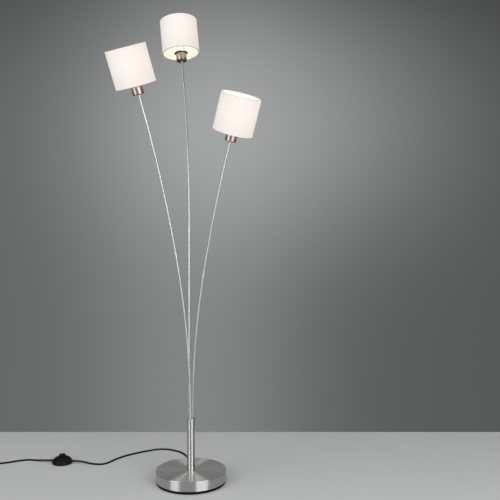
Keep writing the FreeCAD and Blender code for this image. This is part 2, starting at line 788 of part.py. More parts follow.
# ---- all the pieces -------------------------------------------------------------
def pieces():
    made = {
        "base_cover": base_cover(), "base_weight": base_weight(), "foot_pan": foot_pan(),
        "floor_pad": floor_pad(), "pan_screws": pan_screws(), "tie_tube": tie_tube(),
        "clamp_nut": clamp_nut(), "post_tube": post_tube(),
        "post_foot_plug": post_foot_plug(), "post_cap": post_cap(), "rod_seat": rod_seat(),
        "terminal_block": terminal_block(), "lead_gland": lead_gland(),
    }
    for name in arms:
        made.update(arm(name))
    for name, make in switch_parts.items():
        made[name] = placed(make(), switch_place)
    made["lead_to_switch"] = lead_to_switch()
    made["lead_to_coil"] = lead_to_coil()
    made["lead_coil"] = lead_coil()
    made["plug_body"] = placed(plug_body(), plug_place())
    made["plug_pins"] = placed(plug_pins(), plug_place())
    return made


os.makedirs("parts", exist_ok=True)
for name, shape in pieces().items():
    shape.exportStep(f"parts/{name}.step")
    volume = shape.Volume / 1000
    print(f"{name:20s} solids {len(shape.Solids)} valid {shape.isValid()} volume {volume:.2f} cm3")
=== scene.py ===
"""The tree floor lamp, dressed for its pictures: camera, finishes, leads, heads and light.

Places are in metres in the frame of the solids: +Z up, -Y the front, the origin on the
floor under the middle of the base. Sizes shared with the solids and the points of
outlines are in millimetres.
"""
import bmesh
import bpy
import json
import math
from mathutils import Matrix, Vector


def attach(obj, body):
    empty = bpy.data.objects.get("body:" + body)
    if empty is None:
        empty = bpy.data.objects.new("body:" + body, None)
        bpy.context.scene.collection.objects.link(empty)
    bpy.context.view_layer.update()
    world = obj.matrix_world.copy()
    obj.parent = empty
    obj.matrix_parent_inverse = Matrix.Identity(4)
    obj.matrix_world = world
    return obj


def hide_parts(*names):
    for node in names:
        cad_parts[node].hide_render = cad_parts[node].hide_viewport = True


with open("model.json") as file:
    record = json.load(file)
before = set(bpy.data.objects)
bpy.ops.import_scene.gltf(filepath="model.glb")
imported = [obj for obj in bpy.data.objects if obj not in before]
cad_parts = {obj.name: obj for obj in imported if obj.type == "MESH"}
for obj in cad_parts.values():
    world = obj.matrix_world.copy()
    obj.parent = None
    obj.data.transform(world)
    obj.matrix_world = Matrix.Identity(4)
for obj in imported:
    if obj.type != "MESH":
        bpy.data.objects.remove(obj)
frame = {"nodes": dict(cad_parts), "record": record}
nodes = frame["nodes"]
scene = bpy.context.scene
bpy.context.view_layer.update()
MM = 0.001

# ---- sizes shared with the solids, in millimetres ---------------------------------
LEAD_RADIUS = 3.0
SEAT_TOP, POST_TOP = 180.0, 212.0
ROD_CIRCLE = 6.0
ROD_END_STRAIGHT = 12.0
ROD_HOLE = 3.15
NECK, NIPPLE_HEIGHT = 9.0, 5.0
ARMS = {
    "left": dict(place_angle=262.0, lean_angle=221.5,
                 lower=546.0, lower_angle=12.3, turn_angle=0.0, upper=491.0, upper_angle=7.8),
    "middle": dict(place_angle=140.0, lean_angle=87.0,
                   lower=616.5, lower_angle=6.0, turn_angle=44.0, upper=556.0, upper_angle=7.7),
    "right": dict(place_angle=20.0, lean_angle=309.1,
                  lower=480.0, lower_angle=13.7, turn_angle=0.0, upper=419.5, upper_angle=6.9),
}
SWITCH_X, SWITCH_Y, SWITCH_TURN = -453.5, 218.5, 171.6
SWITCH_LEAD_Z = 8.0
COVER_RADIUS, COVER_FOOT, COVER_TOP, COVER_WALL = 35.5, 2.5, 24.0, 2.0
BUTTON_RADIUS, BUTTON_HOLE, BUTTON_TOP = 11.5, 11.8, 31.0
# the plug's pins, from the end where the lead comes in, and to each side of its middle
PIN_FOOT, PIN_TOP, PIN_OUT = 47.0, 66.7, 9.3
# the heads, from the cup's underside up
CUP_HOLE, CUP_RADIUS, CUP_HEIGHT = 3.2, 17.5, 28.0
FRAME_THICK, RING_BORE = 1.2, 13.75
FRAME_TOP = CUP_HEIGHT + FRAME_THICK
HOLDER_TOP, SOCKET_FLOOR = 49.0, 25.0
SHADE_FOOT, SHADE_HEIGHT, SHADE_RADIUS, WIRE_CIRCLE = 27.35, 115.0, 62.0, 59.6
# the dressed heads are turned about their own axes so that they lie square to the frame
HEAD_TURN = -45.0
# quarter turns that bring each shade's seam to the back
SEAM_QUARTERS = {"left": 0, "middle": 1, "right": -1}


# ---- camera -----------------------------------------------------------------------
CAMERA_AT = (0.0045, -2.400, 0.8983)
CAMERA_DOWN, CAMERA_TURN = 3.22, -4.52
FILM_WIDTH, FOCAL_LENGTH = 36.0, 53.38

camera = bpy.data.objects.new("camera", bpy.data.cameras.new("camera"))
scene.collection.objects.link(camera)
camera.location = CAMERA_AT
camera.rotation_euler = (math.radians(90 - CAMERA_DOWN), 0, math.radians(CAMERA_TURN))
camera.data.sensor_width = FILM_WIDTH
camera.data.lens = FOCAL_LENGTH
scene.camera = camera


# ---- making pieces ----------------------------------------------------------------
def keep(name, data, body, material, place=None):
    """Links a new piece, gives it its finish and sets it on its body."""
    piece = bpy.data.objects.new(name, data)
    scene.collection.objects.link(piece)
    if place is not None:
        piece.matrix_world = place
    for one in material if isinstance(material, (list, tuple)) else [material]:
        piece.data.materials.append(one)
    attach(piece, body)
    return piece


def new_mesh(name, vertices, faces):
    mesh = bpy.data.meshes.new(name)
    mesh.from_pydata(vertices, [], faces)
    return mesh


def smooth(mesh, angle=32):
    """Shades a mesh smooth except at edges that turn by more than the angle."""
    mesh.polygons.foreach_set("use_smooth", [True] * len(mesh.polygons))
    mesh.set_sharp_from_angle(angle=math.radians(angle))
    return mesh


def round_point(radius, turn, height):
    """A point at a radius and a height in millimetres, turned about Z."""
    return (radius * MM * math.cos(turn), radius * MM * math.sin(turn), height * MM)


def turns(segments):
    """The angles of the points of a ring."""
    return [2 * math.pi * i / segments for i in range(segments)]


def ring_faces(rows, segments, closed=False):
    """The faces between rows of points that each go once round."""
    faces = []
    for row in range(rows if closed else rows - 1):
        a, b = row * segments, (row + 1) % rows * segments
        for i in range(segments):
            j = (i + 1) % segments
            faces.append((a + i, a + j, b + j, b + i))
    return faces


def lathe(name, outline, segments=64, closed=False, kinds=None):
    """A mesh turned about Z from (radius, height) points.

    kinds gives the material number of the band after each point."""
    on_axis = 1e-6
    vertices, rings, faces, bands = [], [], [], []
    for radius, height in outline:
        if radius < on_axis:
            rings.append([len(vertices)] * segments)
            vertices.append((0, 0, height * MM))
        else:
            rings.append(list(range(len(vertices), len(vertices) + segments)))
            vertices += [round_point(radius, turn, height) for turn in turns(segments)]
    for b in range(len(rings) if closed else len(rings) - 1):
        low, high = rings[b], rings[(b + 1) % len(rings)]
        for i in range(segments):
            j = (i + 1) % segments
            corners = list(dict.fromkeys((low[i], low[j], high[j], high[i])))
            if len(corners) > 2:
                faces.append(corners)
                bands.append(kinds[b] if kinds else 0)
    mesh = new_mesh(name, vertices, faces)
    mesh.polygons.foreach_set("material_index", bands)
    return smooth(mesh)


def screw_surface(name, radius, depth, pitch, foot, top, segments=48):
    """An upright threaded cylinder: the radius falls and rises along a helix."""
    rows_per_turn = 10
    rows = int((top - foot) / pitch * rows_per_turn) + 1
    vertices = []
    for row in range(rows):
        height = foot + (top - foot) * row / (rows - 1)
        # the thread runs out over one turn at both ends
        fade = min(1.0, (height - foot) / pitch, (top - height) / pitch)
        for turn in turns(segments):
            wave = 0.5 - 0.5 * math.cos(2 * math.pi * height / pitch - turn)
            vertices.append(round_point(radius - depth * wave * fade, turn, height))
    return smooth(new_mesh(name, vertices, ring_faces(rows, segments)), 60)


def join_meshes(name, meshes):
    joined = bmesh.new()
    for mesh in meshes:
        joined.from_mesh(mesh)
    result = bpy.data.meshes.new(name)
    joined.to_mesh(result)
    joined.free()
    return result


def repeat_mesh(name, mesh, places):
    """One mesh from copies of another, one at each place."""
    copies = [mesh.copy() for place in places]
    for copy, place in zip(copies, places):
        copy.transform(place)
    return join_meshes(name, copies)


def arc_points(cx, cz, radius, start, stop, count):
    """Points of an arc in an outline, angles in degrees from outward towards up."""
    angles = [math.radians(start + (stop - start) * i / count) for i in range(count + 1)]
    return [(cx + radius * math.cos(t), cz + radius * math.sin(t)) for t in angles]


# ---- materials --------------------------------------------------------------------
class Nodes:
    """Short ways to build the nodes of a material or of the world."""

    def __init__(self, owner):
        self.owner = owner
        owner.use_nodes = True
        self.tree = owner.node_tree
        self.tree.nodes.clear()

    def add(self, kind, values=(), **settings):
        """A node with its settings, and with each input linked or set to a plain value."""
        node = self.tree.nodes.new(kind)
        for key, value in settings.items():
            setattr(node, key, value)
        for key, value in dict(values).items():
            if isinstance(value, bpy.types.NodeSocket):
                self.tree.links.new(value, node.inputs[key])
            else:
                node.inputs[key].default_value = value
        return node

    def math(self, operation, a, b=0.0):
        return self.add("ShaderNodeMath", {0: a, 1: b}, operation=operation).outputs[0]

    def plus(self, a, b):
        return self.math("ADD", a, b)

    def times(self, a, b):
        return self.math("MULTIPLY", a, b)

    def square(self, value, middle=0.0, reach=1.0):
        """The square of a value's distance from a middle, as a share of its reach."""
        share = self.math("DIVIDE", self.math("SUBTRACT", value, middle), reach)
        return self.times(share, share)

    def bell(self, power):
        """1 where the power is 0, falling to 0 as it grows."""
        return self.math("EXPONENT", self.times(power, -1.0))

    def place(self):
        """A point's place in its piece's own axes, in metres."""
        return self.add("ShaderNodeTexCoord").outputs["Object"]

    def parts(self, vector):
        return self.add("ShaderNodeSeparateXYZ", {0: vector}).outputs[:]

    def vector(self, x, y, z=0.0):
        return self.add("ShaderNodeCombineXYZ", {0: x, 1: y, 2: z}).outputs[0]

    def noise(self, vector, scale, detail=3.0, roughness=0.6):
        return self.add("ShaderNodeTexNoise", {"Vector": vector, "Scale": scale, "Detail": detail,
                                               "Roughness": roughness}).outputs[0]

    def spread(self, value, low, high, from_low=0.25, from_high=0.75):
        """A value brought from one range into another, and held at its ends."""
        return self.add("ShaderNodeMapRange", {
            "Value": value, "From Min": from_low, "From Max": from_high,
            "To Min": low, "To Max": high}).outputs[0]

    def mix(self, factor, a, b):
        """A colour between two others, which are sockets 6 and 7 of this node."""
        return self.add("ShaderNodeMix", {0: factor, 6: a, 7: b}, data_type="RGBA").outputs[2]

    def bump(self, height, strength, distance):
        return self.add("ShaderNodeBump", {"Height": height, "Strength": strength,
                                           "Distance": distance}).outputs[0]

    def seen(self):
        """1 for what the camera or a mirroring surface sees, 0 for what only lights."""
        path = self.add("ShaderNodeLightPath")
        return self.math("MAXIMUM", path.outputs["Is Camera Ray"], path.outputs["Is Glossy Ray"])

    def finish(self, shader, out="ShaderNodeOutputMaterial"):
        self.tree.links.new(shader, self.add(out).inputs[0])
        return self.owner

    def surface(self, values):
        return self.finish(self.add("ShaderNodeBsdfPrincipled", values).outputs[0])


def material_nodes(name):
    return Nodes(bpy.data.materials.new(name))


def grey(value, warm=0.0):
    return (value * (1 + warm), value, value * (1 - warm), 1.0)


def turned_metal(name, color, dark, roughness, anisotropy, across=1400.0, painted_shade_foot=None,
                 painted_top_light=None):
    """Metal with fine turning marks round its own Z axis.

    across is how close the marks lie. The foot colour is painted shade on the lowest millimetres, and
    the top colour is painted light, what the colour nears where the metal faces up."""
    round_scale, broad_share = 2.2, 0.14
    foot_from, foot_to = 0.0012, 0.0036
    m = material_nodes(name)
    x, y, z = m.parts(m.place())
    radius = m.math("SQRT", m.plus(m.times(x, x), m.times(y, y)))
    way = m.add("ShaderNodeVectorMath", {0: m.vector(x, y)}, operation="NORMALIZE").outputs[0]
    way_x, way_y = m.parts(way)[:2]
    run = m.plus(radius, z)
    marks = m.vector(m.times(way_x, round_scale), m.times(way_y, round_scale), m.times(run, across))
    broad = m.vector(way_x, way_y, m.times(run, across * broad_share))
    fine_marks = m.noise(marks, 1.0, 4.0, 0.7)
    broad_marks = m.noise(broad, 1.0, 2.0, 0.5)
    tone = m.mix(m.spread(fine_marks, 0.0, 1.0), dark, color)
    tone = m.mix(m.spread(broad_marks, 0.0, 0.35), tone, color)
    # painted light: the metal is made paler where it faces up, for the light that falls on its top
    if painted_top_light is not None:
        facing_up = m.parts(m.add("ShaderNodeNewGeometry").outputs["Normal"])[2]
        tone = m.mix(m.spread(facing_up, 0.0, 0.8, 0.7, 0.95), tone, painted_top_light)
    # painted shade: the lowest millimetres are darkened, for the shade and dark reflection under the
    # foot
    if painted_shade_foot is not None:
        tone = m.mix(m.spread(z, 1.0, 0.0, foot_from, foot_to), tone, painted_shade_foot)
    return m.surface({
        "Base Color": tone, "Metallic": 1.0,
        "Roughness": m.spread(m.noise(marks, 0.6, 3.0), roughness * 0.9, roughness * 1.12),
        "Anisotropic": anisotropy, "Anisotropic Rotation": 0.25,
        "Tangent": m.add("ShaderNodeTangent", direction_type="RADIAL", axis="Z").outputs[0],
        "Normal": m.bump(fine_marks, 0.12, 0.00004),
    })


def satin_metal(name, color, dark, roughness):
    """Evenly satin metal with faint cloudy wear."""
    m = material_nodes(name)
    at = m.place()
    clouds = m.noise(at, 22.0, 3.0)
    grain = m.noise(at, 900.0, 2.0)
    return m.surface({
        "Base Color": m.mix(m.spread(clouds, 0.0, 1.0), dark, color), "Metallic": 1.0,
        "Roughness": m.spread(grain, roughness * 0.85, roughness * 1.15),
        "Normal": m.bump(grain, 0.08, 0.00003),
    })


def moulded(name, color, second, roughness, scale=700.0, bump=0.15, gloss=0.5):
    """Moulded plastic or rubber with a fine sparked grain and slight wear in its tone."""
    m = material_nodes(name)
    at = m.place()
    grain = m.noise(at, scale, 3.0, 0.65)
    clouds = m.noise(at, 35.0, 3.0)
    return m.surface({
        "Base Color": m.mix(m.spread(clouds, 0.0, 1.0), color, second),
        "Roughness": m.spread(clouds, roughness * 0.88, roughness * 1.12),
        "Specular IOR Level": gloss,
        "Normal": m.bump(grain, bump, 0.00005),
    })


def fabric(name, threads, light, glow, roughness, sheen, bump):
    """Woven shade fabric, lit a little from the lamp inside, brightest beside the bulb.

    threads are the colours of dark and pale thread. light and glow are the colour and
    the strength of what shines through, first at the edges and then beside the bulb."""
    threads_round, thread_pitch = 620.0, 0.00066
    bulb_height, glow_reach = 0.100, 0.075
    thick_low, thick_high = 0.35, 0.65
    m = material_nodes(name)
    x, y, z = m.parts(m.place())
    turn = m.math("ARCTAN2", y, x)
    across = m.math("SINE", m.times(turn, threads_round))
    up = m.math("SINE", m.times(z, 2 * math.pi / thread_pitch))
    slub_across = m.noise(m.vector(m.times(turn, 1.6), m.times(z, 480.0)), 3.0, 3.0)
    slub_up = m.noise(m.vector(m.times(turn, 48.0), m.times(z, 22.0)), 3.0, 3.0)
    slubs = m.plus(m.times(slub_across, 0.6), m.times(slub_up, 0.4))
    fall = m.bell(m.square(z, bulb_height, glow_reach))
    strength = m.plus(m.times(fall, glow[1] - glow[0]), glow[0])
    return m.surface({
        "Base Color": m.mix(m.spread(slubs, 0.0, 1.0, thick_low, thick_high), *threads),
        "Roughness": roughness,
        "Sheen Weight": sheen, "Sheen Roughness": 0.45,
        "Emission Color": m.mix(fall, *light),
        "Emission Strength": m.times(strength, m.spread(slubs, 0.96, 1.04, thick_low, thick_high)),
        "Normal": m.bump(m.plus(m.times(m.times(across, up), 0.4), slubs), bump, 0.00018),
    })


def glowing(name, color, strength, low=0.22, high=0.3):
    """A pale surface with the bulb's light painted on it as a glow, with its roughness from low to
    high.
    """
    m = material_nodes(name)
    clouds = m.noise(m.place(), 60.0, 2.0)
    return m.surface({
        "Base Color": color, "Roughness": m.spread(clouds, low, high),
        "Emission Color": (1.0, 0.90, 0.76, 1), "Emission Strength": strength,
    })


# the base's top gets a paler colour than its wall: painted light
brushed_nickel = turned_metal("brushed nickel", grey(0.66, 0.012), grey(0.54, 0.012), 0.30, 1.0,
                              painted_top_light=grey(0.96, 0.012))
post_nickel = turned_metal("brushed nickel tube", grey(0.66, 0.01), grey(0.62, 0.01), 0.36, 1.0)
# painted reflection: the cup's colours are tinted warm for the lit shade's light reflected in it, and
# its foot colour is painted shade
cup_nickel = turned_metal("brushed nickel with painted warm reflection", (0.60, 0.475, 0.42, 1), (0.46, 0.36, 0.315, 1),
                          0.34, 0.75, across=2400.0, painted_shade_foot=(0.10, 0.088, 0.08, 1))
satin_nickel = satin_metal("satin nickel", grey(0.70), grey(0.64), 0.34)
zinc = satin_metal("plated steel", (0.63, 0.65, 0.67, 1), (0.52, 0.54, 0.55, 1), 0.38)
# painted shade: the frame's ring is white painted wire like the rest of the frame, and this dark finish
# stands in for the shade under it
painted_shade_disc = satin_metal("frame ring with painted shade", (0.13, 0.11, 0.094, 1), (0.09, 0.078, 0.066, 1), 0.45)
pin_metal = satin_metal("plated brass pins", (0.72, 0.68, 0.60, 1), (0.62, 0.57, 0.48, 1), 0.26)
cast = moulded("cast weight", grey(0.09), grey(0.05), 0.85, scale=260.0, bump=0.6)
black_plastic = moulded("black plastic", grey(0.006), grey(0.009), 0.40, scale=900.0, bump=0.12,
                        gloss=0.12)
foot_black = moulded("black foot", grey(0.005), grey(0.007), 0.6, scale=600.0, bump=0.2, gloss=0.08)
black_rubber = moulded("black rubber", grey(0.013), grey(0.018), 0.5, scale=800.0, bump=0.2)
lead_black = moulded("black lead", grey(0.005), grey(0.008), 0.45, scale=500.0, gloss=0.1)
foam = moulded("black foam", grey(0.03), grey(0.02), 0.95, scale=1500.0, bump=0.8)
white_plastic = moulded("white plastic", grey(0.80, 0.01), grey(0.76, 0.02), 0.4)
white_wire = moulded("white painted wire", grey(0.78, 0.01), grey(0.72, 0.02), 0.35, scale=500.0,
                     bump=0.1)
# painted light: the frame, lampholder, ring nut and bulb skirt glow with the bulb's light painted on
lit_wire = glowing("white painted wire in the lamp's light", (0.74, 0.72, 0.66, 1), 0.38, 0.35, 0.45)
lit_plastic = glowing("white plastic in the lamp's light", (0.76, 0.74, 0.70, 1), 0.35, 0.4, 0.5)
opal = glowing("opal glass, lit", (0.80, 0.79, 0.74, 1), 0.33)
shade_outer = fabric(
    "white woven shade", threads=((0.385, 0.362, 0.337, 1), (0.435, 0.412, 0.387, 1)),
    light=((1.0, 0.905, 0.83, 1), (1.0, 0.905, 0.84, 1)), glow=(0.40, 0.51),
    roughness=0.9, sheen=0.5, bump=0.3)
shade_inner = fabric(
    "white shade lining", threads=((0.66, 0.65, 0.58, 1), (0.72, 0.71, 0.64, 1)),
    light=((1.0, 0.975, 0.82, 1), (1.0, 0.985, 0.86, 1)), glow=(0.35, 0.43),
    roughness=0.55, sheen=0.0, bump=0.05)
shade_rim = moulded("shade rim", (0.60, 0.57, 0.53, 1), (0.52, 0.49, 0.45, 1), 0.8, scale=900.0,
                    bump=0.3)

finishes = {
    "brushed_nickel": brushed_nickel, "satin_nickel": satin_nickel, "cast_weight": cast,
    "zinc_steel": zinc, "black_plastic": black_plastic, "black_foam": foam,
    "black_rubber": black_rubber, "black_lead": lead_black, "white_plastic": white_plastic,
    "white_wire": white_wire, "white_fabric": shade_outer, "opal_glass": opal,
    "pin_brass": pin_metal,
}
own_finish = {"post_tube": post_nickel, "post_cap": post_nickel, "foot_pan": foot_black}
for part in frame["record"]["subparts"]:
    node = nodes[part["node"]]
    node.data.materials.clear()
    node.data.materials.append(own_finish.get(part["node"], finishes[part["material_slot"]]))


# ---- leads ------------------------------------------------------------------------
def lead(name, points):
    """The curve of a black lead: one smooth line along its points."""
    curve = bpy.data.curves.new(name, "CURVE")
    curve.dimensions = "3D"
    spline = curve.splines.new("NURBS")
    spline.points.add(len(points) - 1)
    for control, at in zip(spline.points, points):
        control.co = (at[0], at[1], at[2], 1.0)
    spline.order_u = 3
    spline.use_endpoint_u = True
    curve.resolution_u = 8
    curve.bevel_depth = LEAD_RADIUS * MM
    curve.bevel_resolution = 5
    curve.use_fill_caps = True
    return curve


gland_at = (0.0, 0.1130, 0.0065)
lead_exit = (0.0, 0.1424, 0.0065)
switch_in = (-0.41047, 0.21215, 0.0080)
switch_out = (-0.49653, 0.22485, 0.0080)
plug_in = (-0.7965, 0.12685, 0.0075)
to_switch = [
    lead_exit, (0.0, 0.1684, 0.0065),
    (-0.003, 0.203, 0.003), (-0.013, 0.239, 0.003), (-0.029, 0.281, 0.003),
    (-0.061, 0.316, 0.003), (-0.107, 0.337, 0.003), (-0.152, 0.321, 0.003), (-0.196, 0.297, 0.003),
    (-0.237, 0.269, 0.003), (-0.270, 0.234, 0.003), (-0.301, 0.181, 0.003), (-0.349, 0.190, 0.003),
    (-0.38475, 0.20835, 0.0080), switch_in,
]
to_plug = [
    switch_out, (-0.52225, 0.22865, 0.0080),
    (-0.548, 0.244, 0.003), (-0.583, 0.254, 0.003), (-0.614, 0.243, 0.003), (-0.645, 0.227, 0.003),
    (-0.680, 0.219, 0.003), (-0.719, 0.222, 0.003),
]
# the spare lead is wound inward on the floor and outward again on top
COIL_X, COIL_Y, COIL_RADIUS, COIL_PITCH, COIL_RISE = -0.755, 0.17885, 0.025, 0.0066, 0.0066
QUARTERS_IN, QUARTERS_OUT, STEPS = 11, 10, 4
# the smooth line cuts inside its points: it runs at this share of their radius
CORNER_CUT = 0.981
for i in range((QUARTERS_IN + QUARTERS_OUT) * STEPS + 1):
    quarters = i / STEPS
    turn = math.radians(90 + 90 * quarters)
    radius = (COIL_RADIUS + COIL_PITCH * abs(quarters - QUARTERS_IN) / 4) / CORNER_CUT
    # it climbs over two quarter turns, softly at both ends
    climbed = min(max((quarters - QUARTERS_IN + 1) / 2, 0.0), 1.0)
    climbed = climbed * climbed * (3 - 2 * climbed)
    to_plug.append((COIL_X + radius * math.cos(turn), COIL_Y + radius * math.sin(turn),
                    LEAD_RADIUS * MM + COIL_RISE * climbed))
to_plug += [(-0.7965, 0.1600, 0.0090), (-0.7965, 0.1460, 0.0080), (-0.7965, 0.1330, 0.0075), plug_in]

lead_one = keep("lead_from_base", lead("lead_from_base", to_switch), "base", lead_black)
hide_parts("lead_to_switch")
lead_two = keep("lead_to_plug", lead("lead_to_plug", to_plug), "base", lead_black)
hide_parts("lead_to_coil", "lead_coil")


def sleeve_outline(foot, thick, thin, length, ribs):
    """The outline of a ribbed strain relief that tapers along its length."""
    depth = 0.28
    points = [(0.0, foot), (thick, foot)]
    pitch = length / (ribs + 1)
    for i in range(ribs):
        at = foot + pitch * (i + 0.7)
        r = thick + (thin - thick) * (at - foot) / length
        groove = r - (r - LEAD_RADIUS) * depth
        points += [(r, at), (groove, at + pitch * 0.08), (groove, at + pitch * 0.34),
                   (r, at + pitch * 0.42)]
    end = foot + length
    points += [(thin + 0.02, end - 0.4), (thin - 0.25, end), (0.0, end)]
    return points


def lead_frame(at, way):
    """A place whose Z axis runs along the lead."""
    return Matrix.Translation(at) @ Vector(way).to_track_quat("Z", "Y").to_matrix().to_4x4()


def gland_mesh():
    """A stem through the foot pan's wall, a flange against it and a ribbed sleeve."""
    stem, flange, thick, thin = 3.6, 4.8, 4.6, 3.5
    inside, flange_thick, sleeve = 14.0, 2.4, 27.0
    line = [(0.0, -inside), (stem, -inside), (stem, 0.0), (flange - 0.3, 0.0), (flange, 0.3),
            (flange, flange_thick - 0.3), (thick, flange_thick)]
    line += sleeve_outline(flange_thick, thick, thin, sleeve, 7)[2:]
    return lathe("lead_gland_ribbed", line, 40)


gland = keep("lead_gland_ribbed", gland_mesh(), "base", black_rubber,
             lead_frame(gland_at, (0, 1, 0)))
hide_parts("lead_gland")


# ---- foot switch ------------------------------------------------------------------
switch_turn = Matrix.Rotation(math.radians(SWITCH_TURN), 4, "Z")
switch_place = Matrix.Translation((SWITCH_X * MM, SWITCH_Y * MM, 0)) @ switch_turn

SLEEVE_OUT = 27.5
sleeve = lathe("sleeve", sleeve_outline(0.0, 5.0, 3.5, 16.0, 4), 40)
sleeve_places = [lead_frame((way * SLEEVE_OUT * MM, 0, SWITCH_LEAD_Z * MM), (way, 0, 0))
                 for way in (-1, 1)]
both_sleeves = repeat_mesh("switch_sleeves_ribbed", sleeve, sleeve_places)
switch_sleeves = keep("switch_sleeves_ribbed", both_sleeves, "base", black_rubber,
                      switch_place)
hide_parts("switch_sleeves")


def dome_arc(radius, top):
    """The arc of the switch's dome through its rim, its middle and its crown, as in the solid."""
    rim, crown, count = 6.0, 13.5, 14
    middle_out, middle_up = 0.62, 0.66
    a = Vector((radius, rim))
    b = Vector((crown + (radius - crown) * middle_out, rim + (top - rim) * middle_up))
    c = Vector((crown, top))
    # the middle of the circle through three points
    d = 2 * (a.x * (b.y - c.y) + b.x * (c.y - a.y) + c.x * (a.y - b.y))
    ux = (a.dot(a) * (b.y - c.y) + b.dot(b) * (c.y - a.y) + c.dot(c) * (a.y - b.y)) / d
    uy = (a.dot(a) * (c.x - b.x) + b.dot(b) * (a.x - c.x) + c.dot(c) * (b.x - a.x)) / d
    start, stop = math.atan2(a.y - uy, a.x - ux), math.atan2(c.y - uy, c.x - ux)
    reach = math.hypot(a.x - ux, a.y - uy)
    angles = [start + (stop - start) * i / count for i in range(count + 1)]
    return [(ux + reach * math.cos(t), uy + reach * math.sin(t)) for t in angles]


def cover_mesh():
    """The domed shell: up its outside, down into the button's guide and back inside."""
    lip, guide, guide_foot = 1.1, 13.4, 20.0
    line = [(COVER_RADIUS - lip, COVER_FOOT), (COVER_RADIUS - lip, COVER_FOOT + 0.6),
            (COVER_RADIUS - 0.3, COVER_FOOT + 0.6), (COVER_RADIUS, COVER_FOOT + 1.0),
            (COVER_RADIUS, COVER_FOOT + 2.7)] + dome_arc(COVER_RADIUS, COVER_TOP)
    line += [(BUTTON_HOLE + 1.2, COVER_TOP), (BUTTON_HOLE + 0.5, COVER_TOP - 0.25),
             (BUTTON_HOLE, COVER_TOP - 0.7), (BUTTON_HOLE, guide_foot), (guide, guide_foot)]
    inside = dome_arc(COVER_RADIUS - COVER_WALL, COVER_TOP - COVER_WALL)
    line += [(x, z) for x, z in reversed(inside) if x > guide]
    line += [(COVER_RADIUS - COVER_WALL, COVER_FOOT)]
    return lathe("switch_cover_shell", line, 96, closed=True)


def button_mesh():
    """The button with a flange that holds it in, and ring grooves on its top."""
    flange, flange_foot, flange_top, edge = 13.5, 17.0, 19.0, 1.4
    shoulder = BUTTON_TOP - edge
    line = [(0, flange_foot), (flange, flange_foot), (flange, flange_top),
            (BUTTON_RADIUS, flange_top), (BUTTON_RADIUS, shoulder)]
    line += arc_points(BUTTON_RADIUS - edge, shoulder, edge, 0, 90, 6)[1:]
    for groove in (9.0, 7.2, 5.4, 3.6):
        line += [(groove + 0.35, BUTTON_TOP - 0.05), (groove + 0.15, BUTTON_TOP - 0.4),
                 (groove - 0.15, BUTTON_TOP - 0.4), (groove - 0.35, BUTTON_TOP - 0.1)]
    line += [(0, BUTTON_TOP - 0.2)]
    return lathe("switch_button_cap", line, 64)


cover = keep("switch_cover_shell", cover_mesh(), "base", black_plastic, switch_place)
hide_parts("switch_cover")
button = keep("switch_button_cap", button_mesh(), "button", black_plastic, switch_place)
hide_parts("switch_button")


# ---- plug pins --------------------------------------------------------------------
def pin_mesh():
    """A pin with a rounded tip, thicker inside its sheath."""
    root, radius, sheathed, tip = 1.98, 1.9, 10.6, 1.3
    line = [(0, PIN_FOOT), (root, PIN_FOOT), (root, PIN_FOOT + sheathed),
            (radius, PIN_FOOT + sheathed + 0.2), (radius, PIN_TOP - tip)]
    line += arc_points(radius - tip, PIN_TOP - tip, tip, 0, 90, 5)[1:] + [(0, PIN_TOP)]
    return lathe("pin", line, 28)


def sheath_mesh():
    """The insulating sheath on the first half of a pin."""
    radius, foot, top = 2.0, PIN_FOOT + 0.2, PIN_FOOT + 10.5
    line = [(0, foot), (radius, foot), (radius, top - 0.2), (radius - 0.08, top), (0, top)]
    return lathe("sheath", line, 28)


plug_frame = lead_frame(plug_in, (0, -1, 0))
pin_places = [Matrix.Translation((side * PIN_OUT * MM, 0, 0)) for side in (-1, 1)]
pin_piece = keep("plug_pins_rounded", repeat_mesh("plug_pins_rounded", pin_mesh(), pin_places),
                 "base", pin_metal, plug_frame)
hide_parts("plug_pins")
sheath_piece = keep("plug_pin_sheaths", repeat_mesh("plug_pin_sheaths", sheath_mesh(), pin_places),
                    "base", black_plastic, plug_frame)


# ---- arms and heads ---------------------------------------------------------------
def along(place, length, bend=0.0):
    """The place at the end of a straight or bent stretch of rod, sizes in millimetres."""
    if bend == 0:
        return place @ Matrix.Translation((0, 0, length * MM))
    turn = math.radians(bend)
    reach = length / turn * MM
    step = Matrix.Translation((reach * (1 - math.cos(turn)), 0, reach * math.sin(turn)))
    return place @ step @ Matrix.Rotation(turn, 4, "Y")


def arm_places(facts):
    """The places of one arm's coupler and of its head, whose zero is the cup's underside."""
    stand = math.radians(facts["place_angle"])
    lean = Matrix.Rotation(math.radians(facts["lean_angle"]), 4, "Z")
    place = Matrix.Translation(round_point(ROD_CIRCLE, stand, SEAT_TOP)) @ lean
    place = along(place, POST_TOP - SEAT_TOP)
    place = along(place, facts["lower"] - ROD_END_STRAIGHT, facts["lower_angle"])
    joint = along(place, ROD_END_STRAIGHT)
    place = joint @ Matrix.Rotation(math.radians(facts["turn_angle"]), 4, "Z")
    place = along(place, ROD_END_STRAIGHT)
    place = along(place, facts["upper"] - ROD_END_STRAIGHT, facts["upper_angle"])
    head = along(place, NECK + NIPPLE_HEIGHT)
    return joint, head @ Matrix.Rotation(math.radians(HEAD_TURN), 4, "Z")


def coupler_mesh():
    """The sleeve that joins two rods, with a groove near each end."""
    radius, half, groove_at, groove = 4.5, 10.0, 6.5, 0.25
    line = [(ROD_HOLE, -half), (radius - 0.5, -half), (radius, -half + 0.5)]
    for at in (-groove_at, groove_at):
        line += [(radius, at - 0.35), (radius - groove, at - 0.15), (radius - groove, at + 0.15),
                 (radius, at + 0.35)]
    line += [(radius, half - 0.5), (radius - 0.5, half), (ROD_HOLE, half)]
    return lathe("coupler", line, 40, closed=True)


